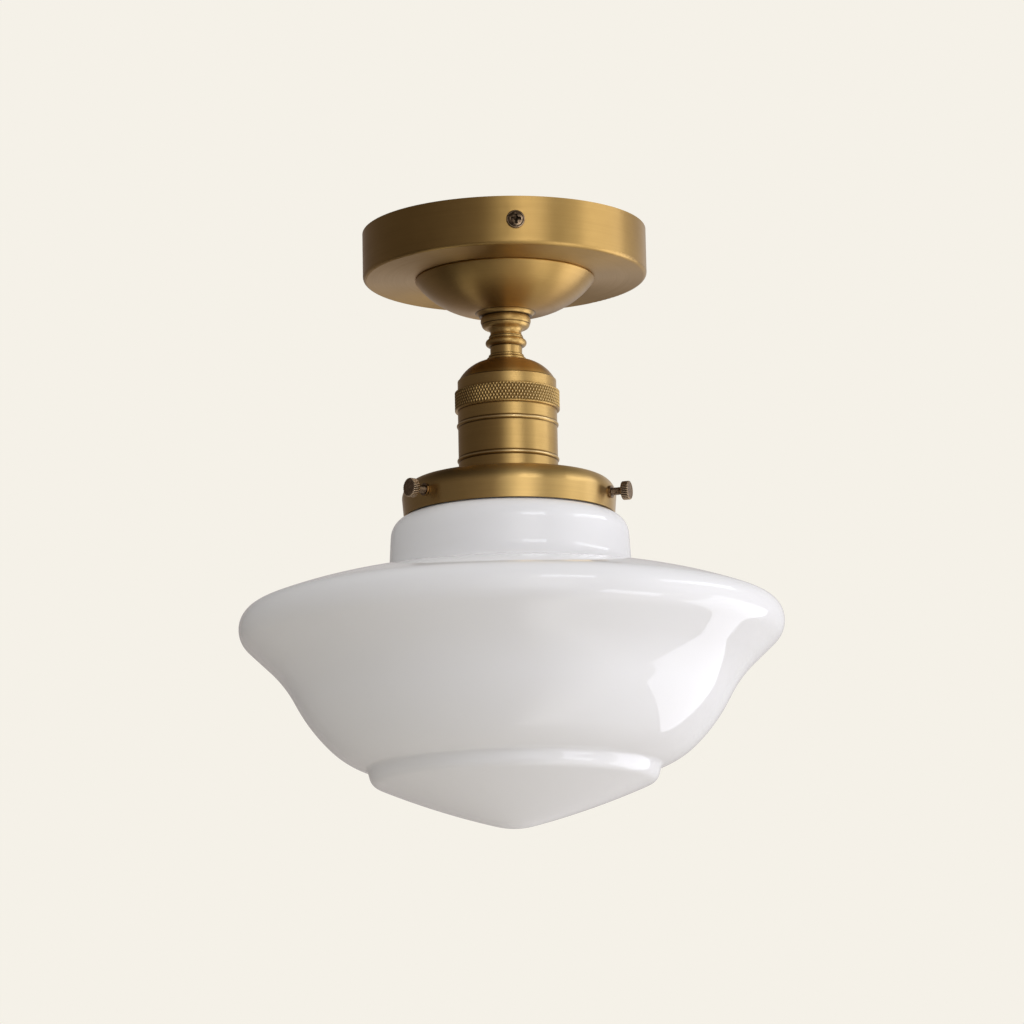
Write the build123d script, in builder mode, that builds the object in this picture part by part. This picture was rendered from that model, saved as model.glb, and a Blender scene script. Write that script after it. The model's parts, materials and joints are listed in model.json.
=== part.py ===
"""Semi flush ceiling light: canopy, turned neck, lampholder, gallery and opal glass shade.

Millimetres. The origin is the centre of the ceiling face, +Z is up, and the front is -Y, so
everything hangs below z = 0. Levels named z_... are heights in that frame.
"""
from build123d import *
from math import cos, radians, sin
import os

os.makedirs("parts", exist_ok=True)

# ---------------------------------------------------------------- driving dimensions
# Canopy and dome
canopy_r = 65.0
canopy_depth = 21.9
canopy_wall = 1.0
canopy_edge_r = 1.8
dome_r = 41.0
dome_rim = 0.8
dome_foot_r = 15.0
dome_depth = 16.0
dome_wall = 1.0

# Ceiling bracket and the screws through the canopy's side
box_screw_spacing = 88.9
box_slot_length = 14.0
box_slot_width = 4.4
bracket_width = 18.0
bracket_sheet = 2.0
bracket_half_length = 62.6
bracket_drop = 15.6
side_screw_drop = 10.8
side_screw_r = 2.0
side_head_r = 4.15
side_head_height = 2.3

# Hollow nipple that carries the light
nipple_r = 5.0
nipple_bore_r = 4.0
nipple_top = -11.0
thread_gap = 0.05

# Levels down the neck and the lampholder
z_canopy = -canopy_depth
z_dome = z_canopy - dome_depth
z_neck = z_dome - 1.8
z_neck_joint = -49.2
z_seat = -57.7
z_cap = -60.4
z_bush = -66.0
z_cap_band = -69.5
z_ring = -74.9
z_body = -79.0
z_shell = -83.8
z_bead_upper = -90.6
z_bead_lower = -106.7
z_gallery = -116.2
z_gallery_rim = -132.6
z_body_mouth = -124.0

# Lampholder
cap_wall = 1.0
cap_band_r = 22.5
ring_r = 23.9
ring_bore_r = 21.25
shell_r = 22.6
shell_bead = 0.6
body_r = 19.5
body_flange_r = 21.1
body_bore_r = 14.0
lamp_thread_r = 13.3
lamp_thread_top = -100.2
lamp_thread_length = 20.3
contact_sheet = 0.5
contact_neck_r = 12.5
terminal_x = 12.5
terminal_pocket = 9.0
terminal_sheet = 0.8
terminal_post_r = 1.0
live_post_x = 7.2
neutral_post_x = 10.0

# Gallery, thumbscrews and shade
gallery_r = 48.6
gallery_rim_r = 47.9
gallery_sheet = 1.2
gallery_shoulder = 8.0
screw_level = -125.4
screw_angles = {"left": -55.0, "right": 65.0, "rear": 185.0}
screw_r = 1.85
screw_tip = 44.9
screw_head_face = 58.0
screw_head_r = 4.25
screw_head_length = 3.5
insert_r = 2.5
insert_flange_r = 2.85
insert_face = 49.4
glass_wall = 3.5
glass_neck_r = 44.6
glass_bead_r = 45.6
glass_lip_r = 1.1
glass_top = z_gallery - gallery_sheet - 2.3
glass_collar_r = 54.0
glass_r = 123.0
glass_tip = -274.5

# Leads
lead_r = 1.05
lead_offset = 1.2


def radial_plane(angle, distance, level):
    """Plane across a screw's axis, angle degrees from the front towards +X, facing outwards."""
    outward = (sin(radians(angle)), -cos(radians(angle)), 0)
    return Plane(origin=(distance * outward[0], distance * outward[1], level), z_dir=outward)


# ---------------------------------------------------------------- ceiling bracket
# Flat bar against the ceiling with two ears bent down behind the canopy's side screws.
with BuildPart() as mounting_bracket:
    with BuildSketch(Plane.YZ) as bar_side:
        with BuildLine():
            Polyline(
                (-bracket_half_length, -bracket_drop),
                (-bracket_half_length, 0),
                (bracket_half_length, 0),
                (bracket_half_length, -bracket_drop),
                (bracket_half_length - bracket_sheet, -bracket_drop),
                (bracket_half_length - bracket_sheet, -bracket_sheet),
                (-bracket_half_length + bracket_sheet, -bracket_sheet),
                (-bracket_half_length + bracket_sheet, -bracket_drop),
                close=True,
            )
        make_face()
        fillet(bar_side.vertices().group_by(Axis.Y)[-1], radius=bracket_sheet)
    extrude(amount=bracket_width / 2, both=True)
    ear_corners = mounting_bracket.edges().filter_by(Axis.Y).group_by(Axis.Z)[0]
    fillet(ear_corners, radius=5)
    with BuildSketch(Plane.XY) as box_slots:
        with GridLocations(1, box_screw_spacing, 1, 2):
            SlotOverall(box_slot_length, box_slot_width, rotation=90)
        Circle(6)
        with Locations((0, 20)):
            Circle(side_screw_r + thread_gap)
    extrude(amount=-bracket_sheet, mode=Mode.SUBTRACT)
    with BuildSketch(Plane.XZ) as ear_holes:
        with Locations((0, -side_screw_drop)):
            Circle(side_screw_r + thread_gap)
    extrude(amount=bracket_half_length, both=True, mode=Mode.SUBTRACT)

# Earth screw on the bar, its head below the bar and the shank up into the tapped hole.
with BuildPart() as ground_screw:
    with BuildSketch(Plane.XY.offset(-bracket_sheet)):
        with Locations((0, 20)):
            RegularPolygon(radius=4.2, side_count=6)
    extrude(amount=-2.6)
    fillet(ground_screw.edges().group_by(Axis.Z)[0], radius=0.5)
    with BuildSketch(Plane.XY.offset(-bracket_sheet - 2.6)):
        with Locations((0, 20)):
            Rectangle(6, 0.9)
    extrude(amount=1.2, mode=Mode.SUBTRACT)
    with BuildSketch(Plane.XY.offset(-bracket_sheet)):
        with Locations((0, 20)):
            Circle(side_screw_r)
    extrude(amount=bracket_sheet - 0.2)

# Two pan-head screws through the canopy's side, front and rear, with crossed recesses.
with BuildPart() as canopy_screws:
    for front in (-1, 1):
        seat = Plane(
            origin=(0, front * canopy_r, -side_screw_drop), x_dir=(1, 0, 0), z_dir=(0, front, 0)
        )
        with BuildSketch(seat):
            Circle(side_head_r)
        head = extrude(amount=side_head_height)
        outer_rim = head.edges().filter_by(GeomType.CIRCLE).sort_by(Axis.Y)[0 if front < 0 else -1]
        fillet(outer_rim, radius=1.3)
        with BuildSketch(seat.offset(side_head_height)):
            Rectangle(4.0, 0.9)
            Rectangle(0.9, 4.0)
            RegularPolygon(radius=1.15, side_count=4)
        extrude(amount=-1.5, taper=12, mode=Mode.SUBTRACT)
        with BuildSketch(seat):
            Circle(side_screw_r)
        extrude(amount=-8)

# ---------------------------------------------------------------- canopy and dome
with BuildPart() as canopy:
    with BuildSketch(Plane.XZ) as canopy_half:
        with BuildLine():
            Polyline(
                (nipple_r + 0.2, z_canopy),
                (canopy_r, z_canopy),
                (canopy_r, 0),
                (canopy_r - canopy_wall, 0),
                (canopy_r - canopy_wall, z_canopy + canopy_wall),
                (nipple_r + 0.2, z_canopy + canopy_wall),
                close=True,
            )
        make_face()
        corner = canopy_half.vertices().sort_by(Axis.Y)[:2].sort_by(Axis.X)[-1]
        fillet(corner, radius=canopy_edge_r)
    revolve(axis=Axis.Z)
    with BuildSketch(Plane.XZ) as side_holes:
        with Locations((0, -side_screw_drop)):
            Circle(side_screw_r + 0.3)
    extrude(amount=canopy_r, both=True, mode=Mode.SUBTRACT)

# Spun dome under the canopy: a rolled-in edge, then one bulging sweep down to the neck.
with BuildPart() as dome:
    with BuildSketch(Plane.XZ) as dome_half:
        with BuildLine():
            Line((0, z_canopy), (dome_r - dome_rim, z_canopy))
            ThreePointArc(
                (dome_r - dome_rim, z_canopy),
                (dome_r - 0.293 * dome_rim, z_canopy - 0.293 * dome_rim),
                (dome_r, z_canopy - dome_rim),
            )
            ThreePointArc(
                (dome_r, z_canopy - dome_rim),
                (dome_r - 7.8, z_canopy - 8.6),
                (dome_foot_r, z_dome),
            )
            Line((dome_foot_r, z_dome), (0, z_dome))
            Line((0, z_dome), (0, z_canopy))
        make_face()
        mirror(about=Plane.YZ)
        offset(dome_half.sketch, amount=-dome_wall, kind=Kind.INTERSECTION, mode=Mode.SUBTRACT)
        with Locations((0, z_canopy)):
            Rectangle(2 * (dome_r - 2.2), 2 * dome_wall + 0.01, mode=Mode.SUBTRACT)
        with Locations((0, z_dome)):
            Rectangle(2 * (nipple_r + 0.2), 4 * dome_wall, mode=Mode.SUBTRACT)
        split(bisect_by=Plane.YZ)
    revolve(axis=Axis.Z)

# ---------------------------------------------------------------- nipple and its fasteners
with BuildPart() as nipple:
    with BuildSketch(Plane.XY.offset(nipple_top)):
        Circle(nipple_r)
        Circle(nipple_bore_r, mode=Mode.SUBTRACT)
    extrude(amount=-(nipple_top - z_bush))
    chamfer(nipple.edges().filter_by(GeomType.CIRCLE).group_by(SortBy.RADIUS)[-1], length=0.4)

with BuildPart() as lock_washer:
    with BuildSketch(Plane.XY.offset(z_canopy + canopy_wall)):
        Circle(9.5)
        with PolarLocations(9.5, 12):
            RegularPolygon(radius=1.1, side_count=4, mode=Mode.SUBTRACT)
        Circle(nipple_r + 0.2, mode=Mode.SUBTRACT)
    extrude(amount=1.0)

with BuildPart() as nipple_nut:
    with BuildSketch(Plane.XY.offset(z_canopy + canopy_wall + 1.0)):
        RegularPolygon(radius=8.1, side_count=6)
        Circle(nipple_r + thread_gap, mode=Mode.SUBTRACT)
    extrude(amount=3.5)
    chamfer(nipple_nut.edges().filter_by(GeomType.CIRCLE), length=0.3)

# ---------------------------------------------------------------- turned neck
bore = nipple_r + thread_gap

# Small hollow-sided ring between the dome and the neck.
with BuildPart() as check_ring:
    with BuildSketch(Plane.XZ):
        with BuildLine():
            Line((bore, z_dome), (13.9, z_dome))
            ThreePointArc((13.9, z_dome), (12.7, z_dome - 0.7), (12.1, z_neck))
            Line((12.1, z_neck), (bore, z_neck))
            Line((bore, z_neck), (bore, z_dome))
        make_face()
    revolve(axis=Axis.Z)

# Upper turning: a rounded drum with a scribed line, a quarter round, and a hollow waist.
with BuildPart() as neck_upper:
    with BuildSketch(Plane.XZ):
        with BuildLine():
            Line((bore, z_neck), (10.7, z_neck))
            ThreePointArc((10.7, z_neck), (11.45, z_neck - 1.6), (11.1, z_neck - 3.5))
            Line((11.1, z_neck - 3.5), (10.8, z_neck - 3.7))
            Line((10.8, z_neck - 3.7), (11.0, z_neck - 3.9))
            ThreePointArc((11.0, z_neck - 3.9), (10.4, z_neck - 5.0), (9.2, z_neck - 5.6))
            ThreePointArc((9.2, z_neck - 5.6), (7.3, z_neck - 6.8), (7.7, z_neck_joint + 0.4))
            Line((7.7, z_neck_joint + 0.4), (7.5, z_neck_joint))
            Line((7.5, z_neck_joint), (bore, z_neck_joint))
            Line((bore, z_neck_joint), (bore, z_neck))
        make_face()
    revolve(axis=Axis.Z)

# Lower turning: a bead between two fillets, then a plain shank.
with BuildPart() as neck_lower:
    with BuildSketch(Plane.XZ):
        with BuildLine():
            Line((bore, z_neck_joint), (7.9, z_neck_joint))
            Line((7.9, z_neck_joint), (7.9, z_neck_joint - 1.1))
            ThreePointArc(
                (7.9, z_neck_joint - 1.1), (9.4, z_neck_joint - 2.9), (7.8, z_neck_joint - 4.5)
            )
            Line((7.8, z_neck_joint - 4.5), (7.3, z_neck_joint - 4.8))
            Line((7.3, z_neck_joint - 4.8), (7.3, z_seat))
            Line((7.3, z_seat), (bore, z_seat))
            Line((bore, z_seat), (bore, z_neck_joint))
        make_face()
    revolve(axis=Axis.Z)

# Thin seat ring with a rounded edge, on top of the lampholder's cap.
with BuildPart() as seat_ring:
    with BuildSketch(Plane.XY.offset(z_seat)):
        Circle(9.0)
        Circle(bore, mode=Mode.SUBTRACT)
    extrude(amount=-(z_seat - z_cap))
    fillet(seat_ring.edges().filter_by(GeomType.CIRCLE).group_by(SortBy.RADIUS)[-1], radius=0.6)

# ---------------------------------------------------------------- lampholder outside
# Cap: domed top, a band that stands a little proud, and a skirt that enters the knurled ring.
with BuildPart() as socket_cap:
    with BuildSketch(Plane.XZ):
        with BuildLine():
            Line((bore, z_cap), (9.4, z_cap))
            ThreePointArc((9.4, z_cap), (15.8, z_cap - 2.5), (22.0, z_cap_band))
            Polyline(
                (22.0, z_cap_band),
                (cap_band_r, z_cap_band - 0.4),
                (cap_band_r, z_ring),
                (ring_bore_r - thread_gap, z_ring),
                (ring_bore_r - thread_gap, z_body),
                (ring_bore_r - 0.9, z_body),
                (ring_bore_r - 0.9, z_ring + cap_wall),
                (cap_band_r - cap_wall, z_ring + cap_wall),
                (cap_band_r - cap_wall, z_cap_band - 0.4),
            )
            ThreePointArc(
                (cap_band_r - cap_wall, z_cap_band - 0.4),
                (15.2, z_cap - 3.3),
                (9.2, z_cap - cap_wall),
            )
            Line((9.2, z_cap - cap_wall), (bore, z_cap - cap_wall))
            Line((bore, z_cap - cap_wall), (bore, z_cap))
        make_face()
    revolve(axis=Axis.Z)

# Threaded hub that ties the cap to the nipple.
with BuildPart() as cap_bushing:
    with BuildSketch(Plane.XY.offset(z_cap - cap_wall)):
        RegularPolygon(radius=8.2, side_count=6)
        Circle(bore, mode=Mode.SUBTRACT)
    extrude(amount=-4.0)

# Plastic bush that keeps the leads off the nipple's lower end.
with BuildPart() as wire_bushing:
    with BuildSketch(Plane.XY.offset(z_bush)):
        Circle(5.6)
        Circle(2.9, mode=Mode.SUBTRACT)
    extrude(amount=-1.3)
    with BuildSketch(Plane.XY.offset(z_bush)):
        Circle(nipple_bore_r - thread_gap)
        Circle(2.9, mode=Mode.SUBTRACT)
    extrude(amount=5)

with BuildPart() as knurled_ring:
    with BuildSketch(Plane.XY.offset(z_ring)):
        Circle(ring_r)
        Circle(ring_bore_r, mode=Mode.SUBTRACT)
    extrude(amount=z_shell - z_ring)
    chamfer(knurled_ring.edges().filter_by(GeomType.CIRCLE).group_by(SortBy.RADIUS)[-1], length=0.5)

# Shell: a tube with two rolled beads, whose top turns in under the knurled ring.
with BuildPart() as socket_shell:
    with BuildSketch(Plane.XZ) as shell_half:
        with BuildLine():
            Polyline(
                (ring_bore_r - 0.9, z_body - 3.0),
                (ring_bore_r - thread_gap, z_body - 3.0),
                (ring_bore_r - thread_gap, z_shell),
                (shell_r, z_shell),
                (shell_r, z_gallery),
                (shell_r - cap_wall, z_gallery),
                (shell_r - cap_wall, z_shell - cap_wall),
                (ring_bore_r - 0.9, z_shell - cap_wall),
                close=True,
            )
        make_face()
        for level in (z_bead_upper, z_bead_lower):
            with Locations((shell_r - 0.35, level)):
                Ellipse(shell_bead + 0.35, 0.85)
    revolve(axis=Axis.Z)

# ---------------------------------------------------------------- lampholder inside
# Ceramic body: flanged top held by the ring, threaded outside, bored for the lamp's cap.
bore_floor = z_body_mouth + 28.0
with BuildPart() as socket_body:
    with BuildSketch(Plane.XZ):
        Polygon(
            (0, z_body),
            (body_flange_r, z_body),
            (body_flange_r, z_body - 3.0),
            (body_r, z_body - 3.0),
            (body_r, z_body_mouth),
            (body_bore_r, z_body_mouth),
            (body_bore_r, bore_floor),
            (0, bore_floor),
            align=None,
        )
    revolve(axis=Axis.Z)
    chamfer(socket_body.edges().filter_by(GeomType.CIRCLE).group_by(Axis.Z)[0], length=0.6)
    with BuildSketch(Plane.XY.offset(z_body)):
        for side in (-1, 1):
            with Locations((side * (terminal_x - 1.0), 0)):
                Rectangle(11, 11)
    extrude(amount=-terminal_pocket, mode=Mode.SUBTRACT)
    with BuildSketch(Plane.XY.offset(z_body)):
        with Locations((-live_post_x, 0), (neutral_post_x, 0)):
            Circle(terminal_post_r + 0.1)
    extrude(amount=bore_floor - z_body, mode=Mode.SUBTRACT)

# Screw contact: the sheet shell that takes the lamp's cap, drawn in above the thread to leave
# room for the leaf, with an annular top.
with BuildPart() as screw_contact:
    with BuildSketch(Plane.XZ):
        Polygon(
            (8.6, bore_floor),
            (contact_neck_r + contact_sheet, bore_floor),
            (contact_neck_r + contact_sheet, lamp_thread_top + 1.0),
            (lamp_thread_r + contact_sheet, lamp_thread_top + 0.2),
            (lamp_thread_r + contact_sheet, lamp_thread_top - lamp_thread_length),
            (lamp_thread_r, lamp_thread_top - lamp_thread_length),
            (lamp_thread_r, lamp_thread_top),
            (contact_neck_r, lamp_thread_top + 0.8),
            (contact_neck_r, bore_floor - contact_sheet),
            (8.6, bore_floor - contact_sheet),
            align=None,
        )
    revolve(axis=Axis.Z)

# Centre contact: a sprung leaf, seen here at rest, that the lamp's tip lifts.
leaf_root = -6.0
with BuildPart() as centre_contact:
    with BuildSketch(Plane.XZ):
        with BuildLine():
            Line((leaf_root, bore_floor - 1.0), (-3.0, bore_floor - 1.6))
            ThreePointArc(
                (-3.0, bore_floor - 1.6), (0.5, bore_floor - 3.6), (4.0, bore_floor - 3.0)
            )
            Line((4.0, bore_floor - 3.0), (4.0, bore_floor - 2.4))
            ThreePointArc(
                (4.0, bore_floor - 2.4), (0.5, bore_floor - 3.0), (-2.8, bore_floor - 1.0)
            )
            Line((-2.8, bore_floor - 1.0), (leaf_root, bore_floor - 0.4))
            Line((leaf_root, bore_floor - 0.4), (leaf_root, bore_floor - 1.0))
        make_face()
    extrude(amount=2.4, both=True)

# Terminal straps: a plate under each terminal screw and a post down through the ceramic, the
# neutral one to the screw contact and the live one to beside the leaf's root.
terminals = {}
for name, side, post_x in (
    ("live_terminal", -1, live_post_x),
    ("neutral_terminal", 1, neutral_post_x),
):
    with BuildPart() as terminal:
        with BuildSketch(Plane.XY.offset(z_body - terminal_pocket)):
            with Locations((side * (terminal_x - 1.0), 0)):
                Rectangle(10, 8)
        extrude(amount=terminal_sheet)
        with BuildSketch(Plane.XY.offset(z_body - terminal_pocket)):
            with Locations((side * post_x, 0)):
                Circle(terminal_post_r)
        extrude(amount=bore_floor - z_body + terminal_pocket)
    terminals[name] = terminal

# Rivet that holds the leaf's root, flush below the ceramic's floor.
with BuildPart() as contact_rivet:
    with BuildSketch(Plane.XY.offset(bore_floor)):
        with Locations((-live_post_x - 0.2, 0)):
            Rectangle(1.6, 4.4)
    extrude(amount=-0.9)

with BuildPart() as terminal_screws:
    for side in (-1, 1):
        with BuildSketch(Plane.XY.offset(z_body - terminal_pocket + terminal_sheet)):
            with Locations((side * (terminal_x + 0.8), 0)):
                Circle(2.9)
        extrude(amount=2.0)
        with BuildSketch(Plane.XY.offset(z_body - terminal_pocket + terminal_sheet + 2.0)):
            with Locations((side * (terminal_x + 0.8), 0)):
                Rectangle(6, 0.8)
        extrude(amount=-1.0, mode=Mode.SUBTRACT)

# Fibre liner between the live parts and the metal shell.
with BuildPart() as insulating_liner:
    with BuildSketch(Plane.XY.offset(z_shell - cap_wall)):
        Circle(body_r + 0.8)
        Circle(body_r + 0.3, mode=Mode.SUBTRACT)
    extrude(amount=z_gallery - z_shell + cap_wall)

# ---------------------------------------------------------------- gallery and its fasteners
# Gallery: a shallow spun cup, open downwards, with a rounded shoulder.
with BuildPart() as gallery:
    with BuildSketch(Plane.XZ) as gallery_half:
        with BuildLine():
            Line((body_r + 0.4, z_gallery), (gallery_r - gallery_shoulder, z_gallery))
            RadiusArc(
                (gallery_r - gallery_shoulder, z_gallery),
                (gallery_r, z_gallery - gallery_shoulder),
                gallery_shoulder,
            )
            Line((gallery_r, z_gallery - gallery_shoulder), (gallery_rim_r, z_gallery_rim))
            Line((gallery_rim_r, z_gallery_rim), (gallery_rim_r - gallery_sheet, z_gallery_rim))
            Line(
                (gallery_rim_r - gallery_sheet, z_gallery_rim),
                (gallery_r - gallery_sheet, z_gallery - gallery_shoulder),
            )
            RadiusArc(
                (gallery_r - gallery_sheet, z_gallery - gallery_shoulder),
                (gallery_r - gallery_shoulder, z_gallery - gallery_sheet),
                -(gallery_shoulder - gallery_sheet),
            )
            Line(
                (gallery_r - gallery_shoulder, z_gallery - gallery_sheet),
                (body_r + 0.4, z_gallery - gallery_sheet),
            )
            Line((body_r + 0.4, z_gallery - gallery_sheet), (body_r + 0.4, z_gallery))
        make_face()
    revolve(axis=Axis.Z)
    for angle in screw_angles.values():
        with BuildSketch(radial_plane(angle, screw_tip, screw_level)):
            Circle(insert_r)
        extrude(amount=8, mode=Mode.SUBTRACT)

# Notched ring nut that clamps the gallery up against the shell.
with BuildPart() as shade_ring:
    with BuildSketch(Plane.XY.offset(z_gallery - gallery_sheet)):
        Circle(26.5)
        with PolarLocations(26.5, 8):
            SlotOverall(4, 2.4, mode=Mode.SUBTRACT)
        Circle(body_r + thread_gap, mode=Mode.SUBTRACT)
    extrude(amount=-3.5)

# Threaded inserts in the gallery's wall, one for each thumbscrew.
with BuildPart() as screw_inserts:
    for angle in screw_angles.values():
        with BuildSketch(radial_plane(angle, gallery_r - 1.8, screw_level)):
            Circle(insert_r)
            Circle(screw_r + thread_gap, mode=Mode.SUBTRACT)
        extrude(amount=insert_face - gallery_r + 1.8)
        with BuildSketch(radial_plane(angle, gallery_r, screw_level)):
            Circle(insert_flange_r)
            Circle(screw_r + thread_gap, mode=Mode.SUBTRACT)
        extrude(amount=insert_face - gallery_r)

thumbscrews = {}
for place, angle in screw_angles.items():
    with BuildPart() as thumbscrew:
        with BuildSketch(radial_plane(angle, screw_tip, screw_level)):
            Circle(screw_r)
        shank = extrude(amount=screw_head_face - screw_head_length - screw_tip)
        with BuildSketch(radial_plane(angle, screw_head_face, screw_level)):
            Circle(screw_head_r)
        knob = extrude(amount=-screw_head_length)
        chamfer(knob.edges().filter_by(GeomType.CIRCLE).group_by(SortBy.RADIUS)[-1], length=0.4)
    thumbscrews[f"thumbscrew_{place}"] = thumbscrew

# ---------------------------------------------------------------- shade
# Opal glass of even thickness: collar, flat shoulder, wide belly, a step, and a shallow cone.
# Down the outside, each stretch has its end point and its radius: 0 is straight, plus bulges
# outwards and minus is hollow.
z_collar = z_gallery_rim - 0.4
collar_edge_r = 9.5
collar_edge_depth = 9.3
neck_cove_r = 2.0
tip_run, tip_rise = 10.0, 1.5
tip_curve_r = (tip_run**2 + tip_rise**2) / (2 * tip_rise)
core = 2 * glass_wall
shade_outline = [
    ((glass_neck_r, z_collar + neck_cove_r), 0),
    ((glass_neck_r + neck_cove_r, z_collar), -neck_cove_r),
    ((glass_collar_r, z_collar - collar_edge_depth), collar_edge_r),
    ((54.6, -152.9), 0),
    ((61.8, -161.0), -8.0),
    ((116.4, -174.1), 215.0),
    ((glass_r, -183.0), 9.5),
    ((120.1, -191.0), 10.5),
    ((110.6, -200.0), 0),
    ((97.8, -217.0), -60.0),
    ((82.0, -238.0), 80.0),
    ((67.9, -246.7), 42.0),
    ((65.5, -248.9), -2.9),
    ((65.0, -251.0), 0),
    ((61.4, -255.0), 5.4),
    ((tip_run, glass_tip + tip_rise), 385.0),
    ((0, glass_tip), tip_curve_r),
    ((-core, glass_tip), 0),
    ((-core, glass_top), 0),
    ((glass_neck_r, glass_top), 0),
]
with BuildPart() as shade:
    with BuildSketch(Plane.XZ) as shade_half:
        with BuildLine():
            start = (glass_neck_r, glass_top)
            for end, bend in shade_outline:
                if bend:
                    RadiusArc(start, end, bend)
                else:
                    Line(start, end)
                start = end
        make_face()
        offset(
            shade_half.sketch_local,
            amount=-glass_wall,
            kind=Kind.INTERSECTION,
            mode=Mode.SUBTRACT,
        )
        with Locations((0, glass_top)):
            Rectangle(2 * (glass_neck_r - glass_wall), 3 * glass_wall, mode=Mode.SUBTRACT)
        with Locations((-core, (glass_top + glass_tip) / 2)):
            Rectangle(2 * core, glass_top - glass_tip + 1, mode=Mode.SUBTRACT)
        with Locations((glass_bead_r - glass_lip_r, glass_top - glass_lip_r - 0.4)):
            Circle(glass_lip_r)
    revolve(axis=Axis.Z)

# ---------------------------------------------------------------- leads and connectors
# Live and neutral leads: over the nipple's top, down its bore, and out to the terminals.
leads = {}
for name, side in (("live_lead", -1), ("neutral_lead", 1)):
    with BuildPart() as lead:
        with BuildLine() as route:
            FilletPolyline(
                (side * 38, side * 12, -10),
                (side * 22, side * 12, -9),
                (side * 9, side * 4, -6.2),
                (side * lead_offset, 0, -6.2),
                (side * lead_offset, 0, -71.5),
                (side * (terminal_x - 1.0), 0, -75.5),
                (side * (terminal_x - 1.0), 0, z_body - 4.0),
                radius=[7, 5, 3.2, 3.2, 2.6],
            )
        with BuildSketch(Plane(origin=route.line @ 0, z_dir=route.line % 0)):
            Circle(lead_r)
        sweep()
    leads[name] = lead

# Earth lead from the bracket's screw to its own connector.
with BuildPart() as ground_lead:
    with BuildLine() as earth_route:
        FilletPolyline(
            (4.6, 20, -3.4),
            (14, 20, -3.4),
            (24, 26, -10),
            (38, 26, -10),
            radius=[7, 9],
        )
    with BuildSketch(Plane(origin=earth_route.line @ 0, z_dir=earth_route.line % 0)):
        Circle(lead_r)
    sweep()
leads["ground_lead"] = ground_lead

# Closed-end connectors over the ends of the three leads.
with BuildPart() as wire_connectors:
    for x, y in ((-38, -12), (38, 12), (38, 26)):
        toward = 1 if x > 0 else -1
        with BuildSketch(Plane(origin=(x - 4 * toward, y, -10), z_dir=(toward, 0, 0))):
            Circle(4.3)
        with BuildSketch(Plane(origin=(x + 11 * toward, y, -10), z_dir=(toward, 0, 0))):
            Circle(2.8)
        loft()
        with BuildSketch(Plane(origin=(x - 4 * toward, y, -10), z_dir=(toward, 0, 0))):
            Circle(lead_r + 0.6)
        extrude(amount=5, mode=Mode.SUBTRACT)

# ---------------------------------------------------------------- labels and files
pieces = {
    "mounting_bracket": mounting_bracket,
    "ground_screw": ground_screw,
    "canopy_screws": canopy_screws,
    "canopy": canopy,
    "dome": dome,
    "nipple": nipple,
    "lock_washer": lock_washer,
    "nipple_nut": nipple_nut,
    "check_ring": check_ring,
    "neck_upper": neck_upper,
    "neck_lower": neck_lower,
    "seat_ring": seat_ring,
    "socket_cap": socket_cap,
    "cap_bushing": cap_bushing,
    "wire_bushing": wire_bushing,
    "knurled_ring": knurled_ring,
    "socket_shell": socket_shell,
    "socket_body": socket_body,
    "screw_contact": screw_contact,
    "centre_contact": centre_contact,
    "contact_rivet": contact_rivet,
    "terminal_screws": terminal_screws,
    "insulating_liner": insulating_liner,
    "gallery": gallery,
    "shade_ring": shade_ring,
    "screw_inserts": screw_inserts,
    "shade": shade,
    "wire_connectors": wire_connectors,
    **terminals,
    **thumbscrews,
    **leads,
}
for name, piece in pieces.items():
    piece.part.label = name
    export_step(piece.part, f"parts/{name}.step")
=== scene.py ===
import json
from math import atan, cos, pi, radians, sin, tan

import bpy
import numpy as np
from mathutils import Matrix, Vector


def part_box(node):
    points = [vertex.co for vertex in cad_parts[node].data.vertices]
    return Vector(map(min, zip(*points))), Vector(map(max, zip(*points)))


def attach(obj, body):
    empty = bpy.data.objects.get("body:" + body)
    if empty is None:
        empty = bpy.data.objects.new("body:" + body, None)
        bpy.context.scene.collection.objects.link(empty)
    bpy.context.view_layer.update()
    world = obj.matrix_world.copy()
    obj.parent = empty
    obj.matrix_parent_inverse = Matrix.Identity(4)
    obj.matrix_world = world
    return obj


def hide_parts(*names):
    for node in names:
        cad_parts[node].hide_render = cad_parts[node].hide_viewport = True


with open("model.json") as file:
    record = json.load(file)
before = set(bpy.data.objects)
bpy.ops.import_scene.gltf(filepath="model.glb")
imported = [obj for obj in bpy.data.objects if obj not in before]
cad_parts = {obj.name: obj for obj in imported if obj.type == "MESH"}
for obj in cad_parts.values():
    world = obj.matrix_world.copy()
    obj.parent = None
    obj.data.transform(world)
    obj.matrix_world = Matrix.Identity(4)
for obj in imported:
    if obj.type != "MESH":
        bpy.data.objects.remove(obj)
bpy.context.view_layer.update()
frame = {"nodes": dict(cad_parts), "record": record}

MM = 0.001
Z_AXIS = (0.0, 0.0, 1.0)


def level(node, end):
    """Height in millimetres of a node's lowest (end 0) or highest (end 1) point."""
    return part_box(node)[end][2] / MM


def reach(node):
    """Largest distance in millimetres of a node's box from the light's axis, along X."""
    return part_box(node)[1][0] / MM


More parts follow.
